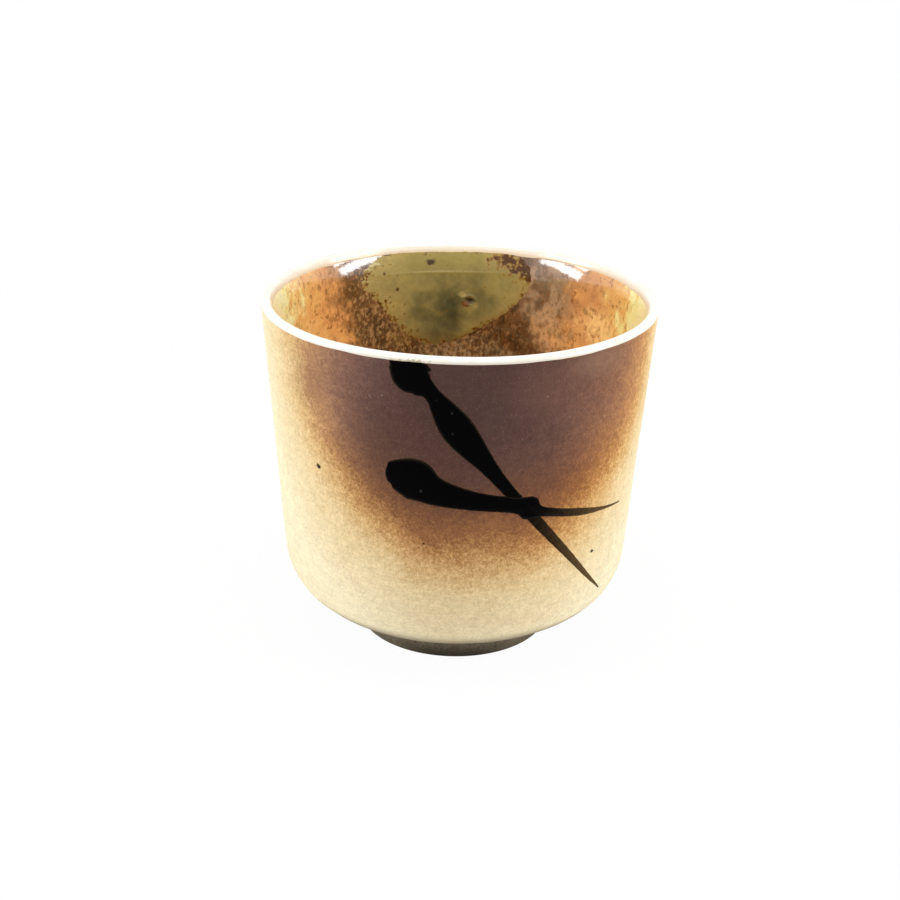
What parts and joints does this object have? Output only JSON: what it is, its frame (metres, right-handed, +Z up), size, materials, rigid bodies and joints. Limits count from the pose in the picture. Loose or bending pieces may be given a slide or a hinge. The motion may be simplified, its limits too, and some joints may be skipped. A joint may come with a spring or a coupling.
{
  "type": "japanese teacup",
  "caption": "Handleless stoneware teacup with a round shoulder on a foot ring, glossy inside and matt outside, with crossed brush strokes on the front.",
  "frame": {"origin": "on the table, at the centre of the foot ring, under the cup's axis", "axes": "+Z up along the cup's axis; -Y is the painted front; +X is to the right when the front is seen"},
  "size_m": [0.08, 0.08, 0.0725],
  "materials": {
    "clay": "bare fired stoneware, buff and sandy",
    "foot_clay": "bare fired stoneware, dark and dry",
    "matt_coat": "matt sandy slip coat, cream with a sprayed iron-brown cloud on the front",
    "amber_glaze": "glossy mottled amber glaze with iron specks",
    "white_glaze": "glossy thin white glaze",
    "ash_glaze": "glossy pooled olive-green ash glaze",
    "black_glaze": "glossy thick black iron glaze"
  },
  "bodies": {
    "root": {"clay_body": "clay", "foot_ring": "foot_clay", "outer_coat": "matt_coat", "liner_glaze": "amber_glaze", "rim_glaze": "white_glaze", "ash_splash": "ash_glaze", "long_brush_stroke": "black_glaze", "short_brush_stroke": "black_glaze"}
  },
  "joints": []
}
